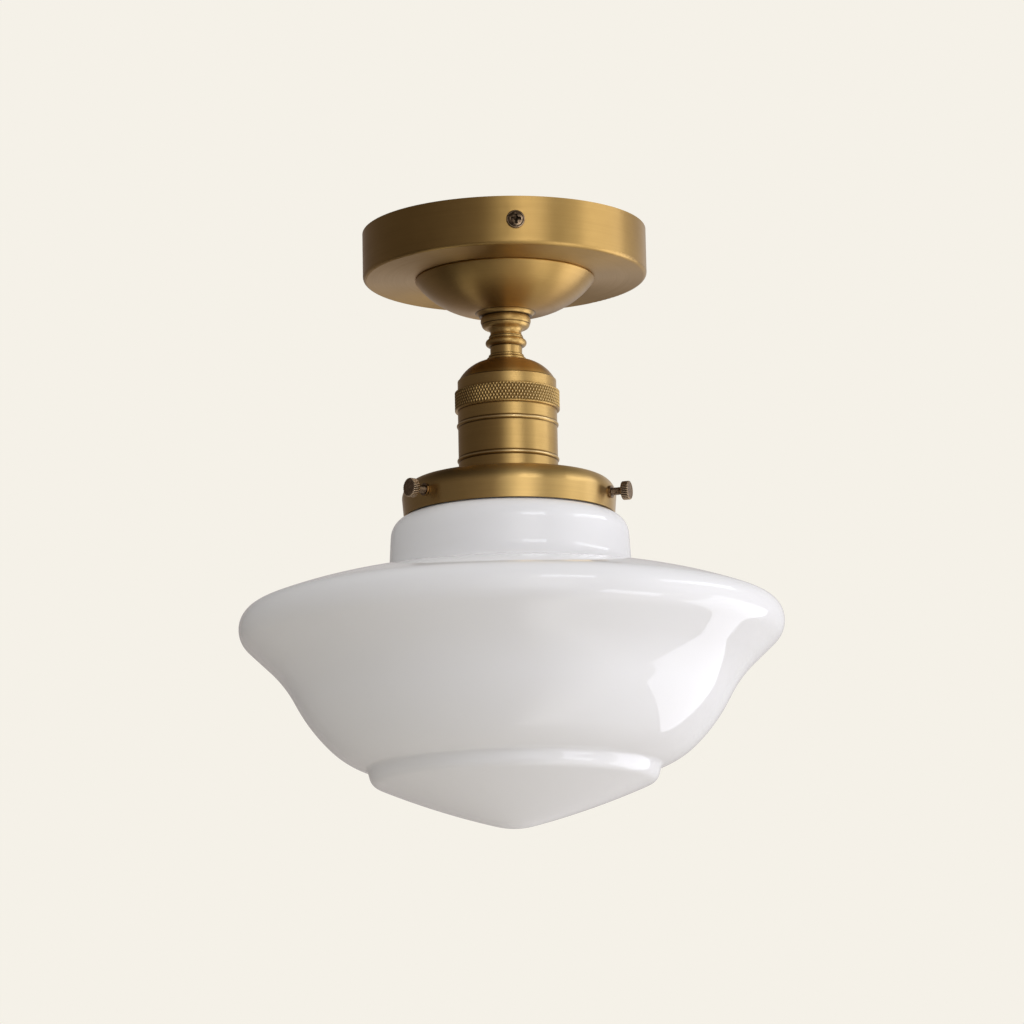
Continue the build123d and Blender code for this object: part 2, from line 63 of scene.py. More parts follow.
# ------------------------------------------------------------------------------------ outlines
class Outline:
    """A path of (radius, height) points, drawn stretch by stretch like a turner's template."""

    def __init__(self, radius, height):
        self.points = [np.array((radius, height), float)]

    def line(self, *stops):
        """Straight to each (radius, height) stop in turn."""
        self.points += [np.array(stop, float) for stop in stops]
        return self

    def arc(self, stop, bend, steps=10):
        """Along a circle of radius |bend| to stop, bulging left of the way when bend is plus.

        The centre lies on the chord's middle normal at sqrt(bend^2 - half chord^2), and the
        points divide the angle between the two ends evenly."""
        start, stop = self.points[-1], np.array(stop, float)
        chord = stop - start
        half = np.hypot(*chord) / 2
        left = np.array((-chord[1], chord[0])) / (2 * half)
        rest = np.sqrt(max(bend * bend - half * half, 0))
        centre = (start + stop) / 2 - np.sign(bend) * left * rest
        first = np.arctan2(*(start - centre)[::-1])
        last = np.arctan2(*(stop - centre)[::-1])
        sweep = (last - first + pi) % (2 * pi) - pi
        angles = first + sweep * np.arange(1, steps + 1) / steps
        self.points += list(centre + abs(bend) * np.stack((np.cos(angles), np.sin(angles)), 1))
        return self

    def via(self, middle, stop, steps=12):
        """Along the one circle through the last point, middle and stop.

        Its radius is the product of the three sides over four times the triangle's area."""
        start = self.points[-1]
        one, two = np.array(middle, float) - start, np.array(stop, float) - start
        twice_area = one[0] * two[1] - one[1] * two[0]
        sides = np.hypot(*one) * np.hypot(*two) * np.hypot(*(two - one))
        return self.arc(stop, -sides / (2 * twice_area), steps)

    def softened(self, radius, steps=3):
        """The closed outline as an array, with each corner over 18 degrees cut to a small arc.

        A corner that turns by the angle t is replaced from radius * tan(t / 2) before it to as
        far after it, at most 0.45 of either side, by a quadratic curve with the corner as its
        middle control point."""
        path = np.array(self.points)
        before, after = np.roll(path, 1, 0) - path, np.roll(path, -1, 0) - path
        back, ahead = (np.hypot(*side.T) for side in (before, after))
        cosine = (before * after).sum(1) / np.maximum(back * ahead, 1e-12)
        turn = pi - np.arccos(np.clip(cosine, -1, 1))
        cut = np.minimum(radius * np.tan(turn / 2), 0.45 * np.minimum(back, ahead))
        starts = path + before / back[:, None] * cut[:, None]
        stops = path + after / ahead[:, None] * cut[:, None]
        rows = []
        for corner, start, stop, angle in zip(path, starts, stops, turn):
            if angle <= radians(18) or corner[0] == 0:
                rows.append(corner)
                continue
            for t in np.linspace(0, 1, steps + 1):
                rows.append((1 - t) ** 2 * start + 2 * t * (1 - t) * corner + t * t * stop)
        return np.array(rows)


def divided(path, pitch):
    """The path with its long stretches divided evenly, so that no step is over pitch."""
    rows = [path[:1]]
    for start, stop in zip(path[:-1], path[1:]):
        parts = max(1, int(np.ceil(np.hypot(*(stop - start)) / pitch)))
        rows.append(start + (stop - start) * (np.arange(1, parts + 1) / parts)[:, None])
    return np.concatenate(rows)


# -------------------------------------------------------------------------------------- meshes
def mesh_piece(name, points, faces, layers=None):
    """A smooth shaded object from an array of points and a list of arrays of faces.

    layers holds an array with one value for each point, under its attribute's name."""
    mesh = bpy.data.meshes.new(name)
    mesh.from_pydata(points, [], [face for group in faces for face in group.tolist()])
    mesh.shade_smooth()
    for layer, values in (layers or {}).items():
        attribute = mesh.attributes.new(layer, "FLOAT", "POINT")
        attribute.data.foreach_set("value", values.astype(np.float32))
    mesh.validate()
    piece = bpy.data.objects.new(name, mesh)
    bpy.context.scene.collection.objects.link(piece)
    return piece


def turned(name, path, turns=192, origin=(0, 0, 0), axis=Z_AXIS, relief=None, closed=True):
    """An outline carried round an axis: origin + w * axis + r * (side * cos a + up * sin a).

    path holds (r, w) in millimetres. relief(r, w, a) gives arrays of how far each point moves out
    and along the axis, and of its painted shade and highlight: 1 where it lies deep in a groove,
    painted dark as shade and soiling, -1 on a crest, painted bright as a highlight on worn metal.
    A closed outline joins its last point to its first. An open one starts and ends on the axis,
    where a fan closes each pole, level with the row beside it in a relief."""
    path = np.asarray(path, float)
    r, w = path.T
    area = np.sum(r * np.roll(w, -1) - np.roll(r, -1) * w)
    if area < 0:
        path = path[::-1]
    if not closed:
        poles, path = path[[0, -1]], path[1:-1]
    angle = 2 * pi * np.arange(turns) / turns
    r, a = np.meshgrid(path[:, 0], angle, indexing="ij")
    w = np.repeat(path[:, 1:], turns, 1)
    shade_and_wear = np.zeros_like(r)
    if relief:
        out, lift, shade_and_wear = relief(r, w, a)
        r, w = r + out, w + lift
    axis = np.array(axis, float)
    side = np.array((1.0, 0.0, 0.0)) if axis[2] else np.cross((0, 0, 1.0), axis)
    up = np.cross(axis, side)
    points = np.cos(a)[..., None] * side + np.sin(a)[..., None] * up
    points = np.array(origin) + r[..., None] * points + w[..., None] * axis
    rows = len(path) if closed else len(path) - 1
    row, column = np.meshgrid(np.arange(rows), np.arange(turns), indexing="ij")
    here, below = row * turns, (row + 1) % len(path) * turns
    beside = (column + 1) % turns
    quads = np.stack((here + column, here + beside, below + beside, below + column), -1)
    faces = [quads.reshape(-1, 4)]
    points, shade_and_wear = points.reshape(-1, 3), shade_and_wear.ravel()
    if not closed:
        first, last = len(points), len(points) + 1
        ring = np.arange(turns)
        after = (ring + 1) % turns
        end = (len(path) - 1) * turns
        faces.append(np.stack((np.full(turns, first), after, ring), 1))
        faces.append(np.stack((np.full(turns, last), end + ring, end + after), 1))
        heights = w[[0, -1], :1] if relief else poles[:, 1:]
        tips = np.array(origin) + heights * axis
        points, shade_and_wear = np.concatenate((points, tips)), np.append(shade_and_wear, shade_and_wear[[0, end]])
    return mesh_piece(name, points * MM, faces, {"shade_and_wear": shade_and_wear} if relief else None)


BODY_OF = {
    node: body for body, nodes in frame["record"]["behaviour"]["bodies"].items() for node in nodes
}
SLOT_OF = {entry["node"]: entry["material_slot"] for entry in frame["record"]["subparts"]}


def placed(piece, finish, node):
    """Gives the piece its finish and the body of the node that it stands for, and hides the node.
    """
    piece.data.materials.append(finish)
    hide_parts(node)
    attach(piece, BODY_OF[node])


# ------------------------------------------------------------------------------------ materials
class Value:
    """One output of a material's nodes. Sums and products on it add Math nodes."""

    def __init__(self, finish, socket):
        self.finish, self.socket = finish, socket

    def maths(self, operation, other, swapped=False):
        pair = (other, self) if swapped else (self, other)
        return self.finish.node("ShaderNodeMath", {"operation": operation}, dict(enumerate(pair)))

    def __add__(self, other):
        return self.maths("ADD", other)

    def __sub__(self, other):
        return self.maths("SUBTRACT", other)

    def __rsub__(self, other):
        return self.maths("SUBTRACT", other, swapped=True)

    def __mul__(self, other):
        return self.maths("MULTIPLY", other)

    def __truediv__(self, other):
        return self.maths("DIVIDE", other)

    def __pow__(self, other):
        return self.maths("POWER", other)

    __radd__ = __add__
    __rmul__ = __mul__


class Shading:
    """A node tree under way: node() adds any node and feed() fills one of its inputs."""

    def __init__(self, tree):
        self.tree = tree

    def node(self, kind, settings=None, inputs=None, output=0):
        """Adds a node of a kind, sets its settings, then values or links on its inputs."""
        node = self.tree.nodes.new(kind)
        for key, setting in (settings or {}).items():
            if key == "stops":
                for place, (position, colour) in enumerate(setting):
                    stops = node.color_ramp.elements
                    stop = stops[place] if place < 2 else stops.new(position)
                    stop.position, stop.color = position, (*colour, 1)
            else:
                setattr(node, key, setting)
        for key, value in (inputs or {}).items():
            self.feed(node.inputs[key], value)
        return Value(self, node.outputs[output])

    def feed(self, socket, value):
        if isinstance(value, Value):
            self.tree.links.new(value.socket, socket)
        else:
            socket.default_value = value

    def parts(self, vector):
        """The three components of a vector."""
        first = self.node("ShaderNodeSeparateXYZ", {}, {0: vector})
        return [Value(self, first.socket.node.outputs[index]) for index in range(3)]

    def noise(self, where, scale, detail=2.0, roughness=0.5, **more):
        """Even noise from 0 to 1 at the point where, with scale waves to a metre."""
        values = {"Vector": where, "Scale": scale, "Detail": detail, "Roughness": roughness, **more}
        kinds = {"noise_dimensions": "4D"} if "W" in more else {}
        return self.node("ShaderNodeTexNoise", kinds, values, output="Fac")

    def mix(self, factor, first, second):
        """Colour between first and second."""
        inputs = {"Factor": factor, 6: (*first, 1) if isinstance(first, tuple) else first}
        inputs[7] = (*second, 1) if isinstance(second, tuple) else second
        return self.node("ShaderNodeMix", {"data_type": "RGBA"}, inputs, output=2)

    def between(self, value, low, high):
        """0 before low, 1 past high, and even between."""
        inputs = {"Value": value, "From Min": low, "From Max": high}
        return self.node("ShaderNodeMapRange", {}, inputs)

    def bump(self, height, depth, strength=1.0):
        """Normal of a surface raised by height (0 to 1) times depth in metres."""
        inputs = {"Height": height, "Distance": depth, "Strength": strength}
        return self.node("ShaderNodeBump", {}, inputs)


class Finish(Shading):
    """A material under way, with one Principled shader whose sockets set() fills."""

    def __init__(self, name):
        self.material = bpy.data.materials.new(name)
        self.material.use_nodes = True
        super().__init__(self.material.node_tree)
        self.shader = self.tree.nodes["Principled BSDF"]

    def set(self, **sockets):
        """Sets the shader's sockets, named with _ for a space, and returns the material."""
        for name, value in sockets.items():
            self.feed(self.shader.inputs[name.replace("_", " ")], value)
        return self.material

    def place(self):
        """The point on the piece, in metres."""
        return self.node("ShaderNodeTexCoord", output="Object")

    def shade_and_wear(self):
        """How dark with painted shade and soiling, and how bright with a painted highlight, the
        point is, each from 0 to 1, as turned() stored it.
        """
        stored = self.node("ShaderNodeAttribute", {"attribute_name": "shade_and_wear"}, {}, "Fac")
        return self.between(stored, 0, 1), self.between(stored, 0, -1)

    def lathe_lines(self, pitch, around=1.2):
        """Noise that runs round the Z axis, as turning and brushing leave it.

        The noise is read at (radius, height) over pitch, and at the direction round the axis as
        a circle of radius around, so a line fades in and out over a long stretch."""
        x, y, z = self.parts(self.place())
        radius = (x * x + y * y + 1e-9) ** 0.5
        where = {0: radius / pitch, 1: z / pitch, 2: x / radius * around}
        vector = self.node("ShaderNodeCombineXYZ", {}, where)
        return self.noise(vector, 1.0, 2.0, 0.6, W=y / radius * around)


def brushed_brass():
    """Satin brass with fine turned lines and a faint uneven patina, with painted shade and soiling
    in the grooves and a painted highlight on crests.

    It is browner on the canopy and paler from the neck down: painted light and shade by height, for
    how the light falls on each part. It is smoother on the gallery, and painted with a dark brown
    shade on the lampholder's cap and the foot of the spun dome."""
    finish = Finish("brushed_brass")
    fine = finish.lathe_lines(0.00032)
    coarse = finish.lathe_lines(0.0016, 0.7)
    patina = finish.between(finish.noise(finish.place(), 38.0, 3.0, 0.55), 0.35, 0.7)
    height = finish.parts(finish.place())[2]
    below_dome = finish.between(height, -0.030, -0.050)
    gallery_down = finish.between(height, -0.112, -0.120)
    # Painted light: the colour is mixed by height, darker on the canopy and paler from the neck
    # down, for how the light falls on each part.
    painted_light_by_height = below_dome * 0.7 + gallery_down * 0.3
    dark = finish.mix(painted_light_by_height, (0.49, 0.312, 0.103), (0.60, 0.402, 0.148))
    light = finish.mix(painted_light_by_height, (0.56, 0.362, 0.124), (0.67, 0.458, 0.178))
    lines = coarse * 0.22 + finish.between(fine, 0.42, 0.7) * 0.16
    colour = finish.mix(lines, finish.mix(patina, dark, light), (0.40, 0.248, 0.080))
    # Painted shade: the cap's dome and the spun dome's foot are mixed towards dark brown.
    cap_dome_shade = finish.between(height, -0.0700, -0.0675) * finish.between(height, -0.0600, -0.0606)
    dome_foot_shade = finish.between(height, -0.0280, -0.0375) * finish.between(height, -0.0382, -0.0378)
    colour = finish.mix(cap_dome_shade * 0.75 + dome_foot_shade * 0.4, colour, (0.36, 0.185, 0.045))
    # Painted shade and soiling darken the grooves; crests get a painted highlight of pale brass.
    dirt_and_shade, rub_and_highlight = finish.shade_and_wear()
    colour = finish.mix(dirt_and_shade * 0.8, colour, (0.075, 0.04, 0.014))
    colour = finish.mix(rub_and_highlight, colour, (0.93, 0.74, 0.42))
    polished = finish.between(height, -0.118, -0.122)
    return finish.set(
        Base_Color=colour,
        Metallic=1.0,
        Roughness=0.30 + coarse * 0.08 + fine * 0.08 - rub_and_highlight * 0.08 - polished * 0.08,
        Anisotropic=0.85,
        Anisotropic_Rotation=0.25,
        Normal=finish.bump(fine * 0.6 + coarse * 0.4, 0.00002, 0.6),
    )


def aged_bronze():
    """Darkened brass of the small screws: brown, with painted shade and soiling in recesses and
    grooves, and a painted highlight of paler metal on edges and crests.
    """
    finish = Finish("aged_bronze")
    mottle = finish.between(finish.noise(finish.place(), 900.0, 3.0, 0.6), 0.3, 0.75)
    colour = finish.mix(mottle, (0.19, 0.125, 0.075), (0.42, 0.305, 0.195))
    # Painted shade and soiling in recesses and grooves, a painted highlight on edges and crests.
    dirt_and_shade, rub_and_highlight = finish.shade_and_wear()
    colour = finish.mix(dirt_and_shade * 0.93, colour, (0.02, 0.012, 0.007))
    colour = finish.mix(rub_and_highlight, colour, (0.62, 0.47, 0.31))
    return finish.set(
        Base_Color=colour,
        Metallic=1.0,
        Roughness=0.24 + mottle * 0.12,
        Normal=finish.bump(mottle, 0.00003, 0.5),
    )


def opal_glass():
    """Milk white blown glass: bright gloss over an even white, a little wavy."""
    finish = Finish("opal_glass")
    cloud = finish.noise(finish.place(), 14.0, 2.0, 0.4)
    colour = finish.mix(cloud, (0.86, 0.855, 0.85), (0.90, 0.895, 0.89))
    wave = finish.noise(finish.place(), 22.0, 1.0, 0.3)
    return finish.set(
        Base_Color=colour,
        Roughness=0.02 + cloud * 0.015,
        IOR=1.52,
        Subsurface_Weight=0.18,
        Subsurface_Radius=(0.006, 0.006, 0.0055),
        Subsurface_Scale=1.0,
        Normal=finish.bump(wave, 0.0004, 0.25),
    )


def plated_steel(name, light, dark, roughness):
    """Zinc or coloured plate on rolled steel: fine spangle and a few rubbed marks."""
    finish = Finish(name)
    spangle = finish.node(
        "ShaderNodeTexVoronoi", {}, {"Vector": finish.place(), "Scale": 420.0}, "Color"
    )
    tone = finish.node("ShaderNodeSeparateColor", {}, {0: spangle})
    rub = finish.between(finish.noise(finish.place(), 160.0, 4.0, 0.65), 0.45, 0.7)
    return finish.set(
        Base_Color=finish.mix(tone * 0.5 + rub * 0.4, dark, light),
        Metallic=1.0,
        Roughness=roughness + tone * 0.10 + rub * 0.08,
        Normal=finish.bump(rub, 0.00004, 0.4),
    )


def contact_brass():
    """Bright sheet brass with drawn lines and a slight tarnish."""
    finish = Finish("contact_brass")
    tarnish = finish.between(finish.noise(finish.place(), 220.0, 3.0, 0.6), 0.4, 0.75)
    return finish.set(
        Base_Color=finish.mix(tarnish, (0.78, 0.60, 0.27), (0.52, 0.35, 0.13)),
        Metallic=1.0,
        Roughness=0.22 + tarnish * 0.2,
        Normal=finish.bump(finish.lathe_lines(0.0003), 0.00002, 0.4),
    )


def porcelain():
    """Off-white glazed ceramic with a few iron specks."""
    finish = Finish("porcelain")
    speck = finish.between(finish.noise(finish.place(), 1900.0, 1.0, 0.3), 0.71, 0.76)
    cloud = finish.noise(finish.place(), 90.0, 2.0, 0.5)
    colour = finish.mix(cloud, (0.80, 0.77, 0.71), (0.86, 0.84, 0.79))
    return finish.set(
        Base_Color=finish.mix(speck * 0.6, colour, (0.25, 0.17, 0.10)),
        Roughness=0.16 + cloud * 0.1,
        Coat_Weight=0.4,
        Normal=finish.bump(cloud, 0.0002, 0.3),
    )


def moulded(name, colour, shade, roughness):
    """Moulded or extruded plastic with a fine skin texture."""
    finish = Finish(name)
    skin = finish.noise(finish.place(), 2600.0, 2.0, 0.6)
    drift = finish.between(finish.noise(finish.place(), 130.0, 2.0, 0.5), 0.3, 0.7)
    return finish.set(
        Base_Color=finish.mix(drift, colour, shade),
        Roughness=roughness + skin * 0.12,
        Normal=finish.bump(skin, 0.00003, 0.6),
    )


def liner_fibre():
    """Pressed fibre board, brown with short flecks."""
    finish = Finish("liner_fibre")
    fleck = finish.between(finish.noise(finish.place(), 1200.0, 5.0, 0.8), 0.4, 0.65)
    return finish.set(
        Base_Color=finish.mix(fleck, (0.16, 0.09, 0.05), (0.33, 0.21, 0.12)),
        Roughness=0.72 + fleck * 0.15,
        Normal=finish.bump(fleck, 0.00008, 0.7),
    )


FINISHES = {
    "brushed_brass": brushed_brass(),
    "aged_bronze": aged_bronze(),
    "opal_glass": opal_glass(),
    "zinc_steel": plated_steel("zinc_steel", (0.66, 0.66, 0.65), (0.42, 0.43, 0.45), 0.30),
    "ground_green": plated_steel("ground_green", (0.10, 0.42, 0.16), (0.03, 0.22, 0.08), 0.28),
    "contact_brass": contact_brass(),
    "porcelain": porcelain(),
    "bush_plastic": moulded("bush_plastic", (0.020, 0.020, 0.021), (0.035, 0.035, 0.036), 0.45),
    "liner_fibre": liner_fibre(),
    "wire_black": moulded("wire_black", (0.012, 0.012, 0.013), (0.022, 0.022, 0.023), 0.33),
    "wire_white": moulded("wire_white", (0.74, 0.72, 0.66), (0.80, 0.78, 0.73), 0.33),
    "wire_green": moulded("wire_green", (0.018, 0.13, 0.038), (0.030, 0.17, 0.055), 0.33),
    "connector_plastic": moulded("connector_plastic", (0.60, 0.20, 0.025), (0.68, 0.25, 0.04), 0.4),
}
for node, piece in frame["nodes"].items():
    piece.data.materials.clear()
    piece.data.materials.append(FINISHES[SLOT_OF[node]])

BRASS, BRONZE = FINISHES["brushed_brass"], FINISHES["aged_bronze"]


# ------------------------------------------------------------------------------------- the dome
def seams(*levels, half=0.22, crests=()):
    """Relief that moves nothing: painted shade and soiling at the levels, a painted highlight on
    worn metal at the crests.

    Either fades away from its height as exp(-(distance / half)^2)."""

    def relief(r, w, a):
        seam_dirt_and_shade = np.max([np.exp(-(((w - height) / half) ** 2)) for height in levels], axis=0)
        for height in crests:
            seam_dirt_and_shade = seam_dirt_and_shade - 0.75 * np.exp(-(((w - height) / half) ** 2)) * (1 - seam_dirt_and_shade)
        return 0, 0, seam_dirt_and_shade

    return relief


def dome():
    """Spun bowl under the canopy: a rolled-in edge, then a bulging sweep down to its foot."""
    side, foot, sheet = reach("dome"), 15.0, 1.0
    top, bottom = level("dome", 1), level("dome", 0)
    roll = 0.8
    path = Outline(side - 2.2, top - sheet).line((side - 2.2, top), (side - roll, top))
    path.arc((side, top - roll), roll, 6).via((side - 7.8, top - 8.6), (foot, bottom), 36)
    path.line((5.2, bottom), (5.2, bottom + sheet), (foot, bottom + sheet))
    path.via((side - 8.4, top - 7.8), (side - sheet, top - sheet), 36)
    path = divided(path.softened(0.2), 2.0)
    placed(turned("spun_dome", path, 224), BRASS, "dome")


# ------------------------------------------------------------------------------------- the neck
NIPPLE_BORE = 5.05


def turning(node, path, *dark):
    """A solid turning, bored for the nipple: the outline down its outside, then back up the bore.

    It is painted dark, as shade and soiling, where it meets its neighbours and at the heights in
    dark."""
    first, last = path.points[0], path.points[-1]
    path.line((NIPPLE_BORE, last[1]), (NIPPLE_BORE, first[1]))
    grime_and_shade = seams(first[1], last[1], *dark)
    piece = turned(node + "_turning", divided(path.softened(0.14), 0.35), 160, relief=grime_and_shade)
    placed(piece, BRASS, node)


def neck():
    """Four turnings on the nipple: hollow ring, drum with a waist, bead with a shank, seat ring."""
    top, low = level("check_ring", 1), level("check_ring", 0)
    turning("check_ring", Outline(13.9, top).via((12.7, top - 0.7), (12.1, low)))

    top, low = low, level("neck_upper", 0)
    drum = Outline(10.7, top).via((11.45, top - 1.6), (11.1, top - 3.5), 14)
    drum.line((10.8, top - 3.7), (11.0, top - 3.9)).via((10.4, top - 5.0), (9.2, top - 5.6))
    drum.via((7.3, top - 6.8), (7.7, low + 0.4), 16).line((7.5, low))
    turning("neck_upper", drum, top - 3.7)

    top, low = low, level("neck_lower", 0)
    bead = Outline(7.9, top).line((7.9, top - 1.1)).via((9.4, top - 2.9), (7.8, top - 4.5), 20)
    turning("neck_lower", bead.line((7.3, top - 4.8), (7.3, low)), top - 1.1, top - 4.7)

    top, low, side = low, level("seat_ring", 0), reach("seat_ring")
    ring = Outline(7.7, top).arc((8.1, top - 0.4), 0.4, 4).line((8.1, top - 0.9), (7.8, top - 1.2))
    ring.line((side - 0.4, top - 1.4)).arc((side, top - 1.8), 0.4, 4).line((side, low))
    turning("seat_ring", ring, top - 1.2)


# ------------------------------------------------------------------------------------ lampholder
def holder_cap():
    """Domed cap of sheet: a plain band below the dome, and a skirt inside the knurled ring."""
    top, band, low = level("socket_cap", 1), -69.5, level("socket_cap", 0)
    side, skirt, sheet = reach("socket_cap"), 21.2, 1.0
    seat = level("knurled_ring", 1)
    skirt_bore, side_bore = skirt - 0.85, side - sheet
    path = Outline(NIPPLE_BORE, top).line((9.4, top)).via((15.8, top - 2.5), (22.0, band), 24)
    path.line((side, band - 0.4), (side, seat), (skirt, seat), (skirt, low), (skirt_bore, low))
    path.line((skirt_bore, seat + sheet), (side_bore, seat + sheet), (side_bore, band - 0.4))
    path.via((15.2, top - 3.3), (9.2, top - sheet), 16).line((NIPPLE_BORE, top - sheet))
    # Painted shade and soiling at the cap's top, its seat and the band's edge.
    path, grime_and_shade = divided(path.softened(0.16), 0.4), seams(top, seat, band - 0.1)
    placed(turned("holder_cap", path, 192, relief=grime_and_shade), BRASS, "socket_cap")


def diamonds(count, lean, depth, side, low, high):
    """Relief of a diamond knurl between two heights, fading out over the last 0.35 mm.

    Two sets of grooves lean either way: each is a triangle wave of count * angle / 2 pi plus or
    minus height * count * tan(lean) / girth. The metal stands where both waves are high; its
    grooves are painted dark as shade and soiling, and its crests get a painted highlight."""

    def relief(r, w, a):
        around = count * a / (2 * pi)
        rise = w * tan(lean) * count / (2 * pi * side)
        waves = [1 - abs(2 * np.mod(around + sign * rise, 1) - 1) for sign in (1, -1)]
        metal = np.clip(1.45 * np.minimum(*waves), 0, 1)
        edge = np.clip(np.minimum(w - low, high - w) / 0.35, 0, 1) * (r > side - 0.1)
        # Grooves get painted shade and soiling, crests a painted highlight.
        groove, crest = (1 - metal) * edge, np.clip(2.2 * metal - 1.2, 0, 1) * edge
        return -depth * groove, 0, groove - 0.45 * crest

    return relief


def knurled_ring():
    """Ring with a diamond knurl round its side and a plain edge above and below."""
    side, bore, corner, row = reach("knurled_ring"), 21.25, 0.4, 0.18
    top, low = level("knurled_ring", 1), level("knurled_ring", 0)
    under = Outline(side - corner, low).arc((side, low + corner), -corner, 4).points
    upright = divided(np.array([(side, low + corner), (side, top - corner)]), row)[1:]
    over = Outline(side, top - corner).arc((side - corner, top), -corner, 4).points[1:]
    path = np.concatenate((under, upright, over, [(bore, top), (bore, low)]))
    knurl = diamonds(95, radians(30), 0.50, side, low + 0.55, top - 0.35)
    placed(turned("diamond_knurl_ring", path, 1140, relief=knurl), BRASS, "knurled_ring")


def holder_shell():
    """Tube of sheet whose top turns in under the knurled ring, with two beads rolled outwards.

    A bead is half an ellipse on the tube's side: radius + rise * sqrt(1 - (height / half)^2),
    between two scored lines, which are painted dark as shade and soiling, while its crest gets a
    painted highlight."""
    top, low, side, sheet = -83.8, level("socket_shell", 0), 22.6, 1.0
    lip, neck = level("socket_shell", 1), 21.2
    rise, half, score, deepest, width = 0.6, 0.80, 0.2, 0.22, 0.50
    path, dark, bright = Outline(side, low), [low, top], []
    for middle in (-106.7, -90.6):
        foot, head = middle - half, middle + half
        path.line((side, foot - width), (side - score, foot - deepest), (side, foot))
        t = np.linspace(-1, 1, 15)[1:-1]
        path.line(*zip(side + rise * np.sqrt(1 - t * t), middle + half * t), (side, head))
        path.line((side - score, head + deepest), (side, head + width))
        dark += [foot - 0.2, head + 0.2]
        bright += [middle + 0.1]
    path.line((side, top), (neck, top), (neck, lip), (neck - 0.85, lip), (neck - 0.85, top - sheet))
    path.line((side - sheet, top - sheet), (side - sheet, low))
    path = divided(path.softened(0.08), 0.5)
    # Painted shade and soiling beside each bead, a painted highlight on its crest.
    grime_and_shade = seams(*dark, crests=bright)
    placed(turned("holder_shell", path, 192, relief=grime_and_shade), BRASS, "socket_shell")


def lamp_thread():
    """Rolled thread for the lamp: the sheet waves inwards by depth * (1 + cosine) / 2.

    The wave's phase is height / pitch + angle / 2 pi, so one turn lifts it by one pitch."""
    floor, low = level("screw_contact", 1), level("screw_contact", 0)
    side, sheet, neck, mouth = 13.3, 0.5, 12.5, -100.2
    pitch, depth = 3.63, 0.55
    outside = divided(np.array([(side + sheet, low), (side + sheet, mouth + 0.2)]), 0.3)
    inside = divided(np.array([(side, mouth), (side, low)]), 0.3)
    shoulder = [(neck + sheet, mouth + 1.0), (neck + sheet, floor), (8.6, floor)]
    back = [(8.6, floor - sheet), (neck, floor - sheet), (neck, mouth + 0.8)]
    path = np.concatenate((outside, shoulder, back, inside))

    def rolled(r, w, a):
        wave = 0.5 + 0.5 * np.cos(2 * pi * (w / pitch + a / (2 * pi)))
        wave = wave * np.clip(np.minimum(w - low, mouth - w) / 1.2, 0, 1)
        return -depth * wave, 0, 0.3 * wave

    finish = FINISHES["contact_brass"]
    placed(turned("lamp_thread", path, 96, relief=rolled), finish, "screw_contact")


# --------------------------------------------------------------------------------------- screws
def thumbscrew(place, angle):
    """Threaded shank and a knob with straight teeth, turned about the screw's own axis.

    Teeth are a clipped cosine of the angle and the thread is a triangle wave of distance / pitch
    plus angle / 2 pi. Both only cut inwards from the plain screw."""
    node, beta, height = "thumbscrew_" + place, radians(angle), -125.4
    tip, shank, root, face, side = 44.9, 1.85, 54.5, 58.0, 4.25
    teeth, tooth_depth, pitch, thread_depth = 30, 0.34, 0.7, 0.32
    path = Outline(0, tip).line((shank - 0.5, tip), (shank, tip + 0.5))
    bar = divided(np.array([(shank, tip + 0.5), (shank, root)]), 0.1)[1:]
    knob = Outline(shank, root).line((side - 0.45, root)).arc((side, root + 0.4), -0.45, 4)
    knob.line((side, face - 0.45)).arc((side - 0.45, face - 0.05), -0.45, 4)
    knob.line((side - 0.75, face), (side - 1.0, face - 0.12), (0, face - 0.12))
    path = np.concatenate((path.points[:-1], bar[:-1], divided(np.array(knob.points), 0.5)))

    def cut(r, w, a):
        rim = np.clip((r - side + 0.5) / 0.3, 0, 1) * (w > root)
        tooth = np.clip(0.5 + 0.9 * np.cos(teeth * a), 0, 1) * rim
        thread = abs(2 * np.mod(w / pitch + a / (2 * pi), 1) - 1)
        thread = thread * (r > shank - 0.05) * np.clip((root - 0.3 - w) / 0.3, 0, 1)
        corner = (r > side - 0.5) * (w > face - 0.5)
        # Tooth gaps and thread grooves are painted dark as shade and soiling; tooth tops and the
        # face's edge get a painted highlight.
        crest = 0.6 * np.clip(-np.cos(teeth * a), 0, 1) * rim + 0.5 * corner
        shade_and_wear = np.maximum(tooth, 0.8 * thread) - crest * (1 - tooth)
        return -tooth_depth * tooth - thread_depth * thread, 0, shade_and_wear

    outwards = (sin(beta), -cos(beta), 0)
    piece = turned("knurled_" + node, path, 240, (0, 0, height), outwards, cut, closed=False)
    placed(piece, BRONZE, node)


